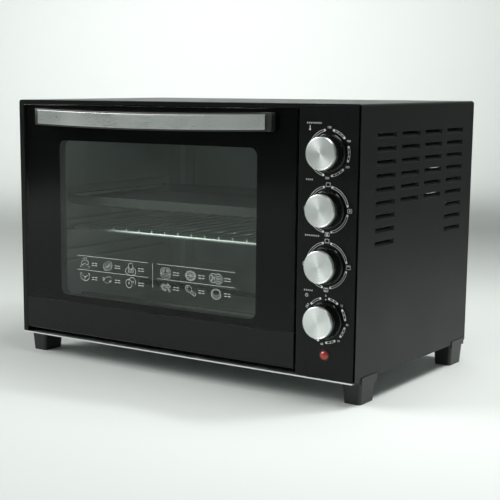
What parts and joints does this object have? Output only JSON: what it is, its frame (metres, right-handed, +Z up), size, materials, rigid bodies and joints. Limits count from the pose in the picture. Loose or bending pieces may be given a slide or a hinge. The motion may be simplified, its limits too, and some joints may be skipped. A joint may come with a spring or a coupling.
{
  "type": "toaster oven",
  "caption": "Countertop toaster oven with a drop-down glass door, bowed bar handle, side column of rotary controls, wire rack and baking tray.",
  "frame": {"origin": "centre of the bounding box in X and Y, at the underside of the feet", "axes": "+X to the oven's right as seen from the front, +Y from the door to the back, +Z up"},
  "size_m": [0.542, 0.3564, 0.36],
  "materials": {
    "black_enamel": "semi-gloss black enamel",
    "frame_black": "gloss black enamel",
    "rear_zinc": "satin black enamel",
    "floor_zinc": "galvanised sheet",
    "screw_steel": "zinc-plated steel",
    "trim_chrome": "bright",
    "cavity_steel": "grey enamelled sheet",
    "ceramic_bush": "unglazed white ceramic",
    "heater_sheath": "heat-tinted steel tube",
    "rack_chrome": "chrome-plated wire",
    "tray_enamel": "dark non-stick enamel",
    "door_glass": "toughened, black printed border",
    "door_frame_black": "satin black enamel",
    "door_bar_black": "gloss black",
    "handle_steel": "brushed",
    "handle_black": "satin black",
    "hinge_steel": "zinc-plated steel",
    "panel_black": "gloss black",
    "switch_plastic": "heat-resistant moulding",
    "bell_steel": "plated steel",
    "lamp_red": "clear red",
    "lamp_holder_white": "white moulding",
    "knob_black": "satin black",
    "cap_aluminium": "spun, bright bevel",
    "shaft_brass": "turned",
    "fan_aluminium": "pressed sheet",
    "motor_steel": "plated steel can",
    "gland_plastic": "black moulding",
    "foot_plastic": "satin black"
  },
  "bodies": {
    "cabinet": {"bottom_plate": "floor_zinc", "casing_screws": "screw_steel", "cavity_back": "cavity_steel", "cavity_floor": "cavity_steel", "cavity_left_wall": "cavity_steel", "cavity_right_wall": "cavity_steel", "cavity_roof": "cavity_steel", "control_panel": "panel_black", "cord_gland": "gland_plastic", "fan_housing": "cavity_steel", "fan_motor": "motor_steel", "foot_front_left": "foot_plastic", "foot_front_right": "foot_plastic", "foot_rear_left": "foot_plastic", "foot_rear_right": "foot_plastic", "foot_screws": "screw_steel", "front_frame": "frame_black", "heater_insulators": "ceramic_bush", "heater_lower_front": "heater_sheath", "heater_lower_rear": "heater_sheath", "heater_switch_body": "switch_plastic", "heater_upper_front": "heater_sheath", "heater_upper_rear": "heater_sheath", "hinge_brackets": "hinge_steel", "hinge_pins": "hinge_steel", "lamp_holder": "lamp_holder_white", "lamp_lens": "lamp_red", "mode_switch_body": "switch_plastic", "outer_casing": "black_enamel", "rear_panel": "rear_zinc", "rotisserie_motor": "motor_steel", "spit_rest": "cavity_steel", "switch_screws": "screw_steel", "terminal_block": "switch_plastic", "thermostat_body": "switch_plastic", "timer_bell": "bell_steel", "timer_body": "switch_plastic", "trim_strip": "trim_chrome"},
    "door": {"door_glass": "door_glass", "door_inner_frame": "door_frame_black", "door_lower_bar": "door_bar_black", "handle_strip": "handle_steel", "handle_grip": "handle_black", "handle_screws": "screw_steel"},
    "rack": {"wire_rack": "rack_chrome"},
    "tray": {"baking_tray": "tray_enamel"},
    "fan": {"fan_impeller": "fan_aluminium"},
    "rotisserie_drive": {"rotisserie_socket": "fan_aluminium"},
    "temperature_control": {"temperature_knob": "knob_black", "temperature_knob_cap": "cap_aluminium", "temperature_shaft": "shaft_brass"},
    "mode_control": {"mode_knob": "knob_black", "mode_knob_cap": "cap_aluminium", "mode_shaft": "shaft_brass"},
    "heater_control": {"heater_knob": "knob_black", "heater_knob_cap": "cap_aluminium", "heater_shaft": "shaft_brass"},
    "timer_control": {"timer_knob": "knob_black", "timer_knob_cap": "cap_aluminium", "timer_shaft": "shaft_brass"}
  },
  "joints": [
    {"name": "door_hinge", "type": "hinge", "parent": "cabinet", "child": "door", "pos_m": [-0.0385, -0.14125, 0.04], "axis": [1, 0, 0], "range_deg": [0, 90], "stiffness_Nm_per_rad": 1.2, "springref_deg": -28.65},
    {"name": "rack_slide", "type": "slide", "parent": "cabinet", "child": "rack", "axis": [0, -1, 0], "range_m": [0, 0.1415]},
    {"name": "tray_slide", "type": "slide", "parent": "cabinet", "child": "tray", "axis": [0, -1, 0], "range_m": [0, 0.1415]},
    {"name": "temperature_turn", "type": "hinge", "parent": "cabinet", "child": "temperature_control", "pos_m": [0.228, -0.15975, 0.303], "axis": [0, 1, 0], "range_deg": [0, 280]},
    {"name": "mode_turn", "type": "hinge", "parent": "cabinet", "child": "mode_control", "pos_m": [0.228, -0.15975, 0.23633], "axis": [0, 1, 0], "range_deg": [0, 270]},
    {"name": "heater_turn", "type": "hinge", "parent": "cabinet", "child": "heater_control", "pos_m": [0.228, -0.15975, 0.16967], "axis": [0, 1, 0], "range_deg": [0, 270]},
    {"name": "timer_turn", "type": "hinge", "parent": "cabinet", "child": "timer_control", "pos_m": [0.228, -0.15975, 0.103], "axis": [0, 1, 0], "range_deg": [-45, 290]},
    {"name": "fan_spin", "type": "hinge", "parent": "cabinet", "child": "fan", "pos_m": [0.17, 0.07525, 0.268], "axis": [1, 0, 0], "continuous": true},
    {"name": "rotisserie_spin", "type": "hinge", "parent": "cabinet", "child": "rotisserie_drive", "pos_m": [0.17, 0.0115, 0.201], "axis": [1, 0, 0], "continuous": true}
  ],
  "couplings": [
    {"joint": "rack_slide", "follows": "door_hinge", "m_per_rad": 0.09},
    {"joint": "tray_slide", "follows": "door_hinge", "m_per_rad": 0.09}
  ]
}
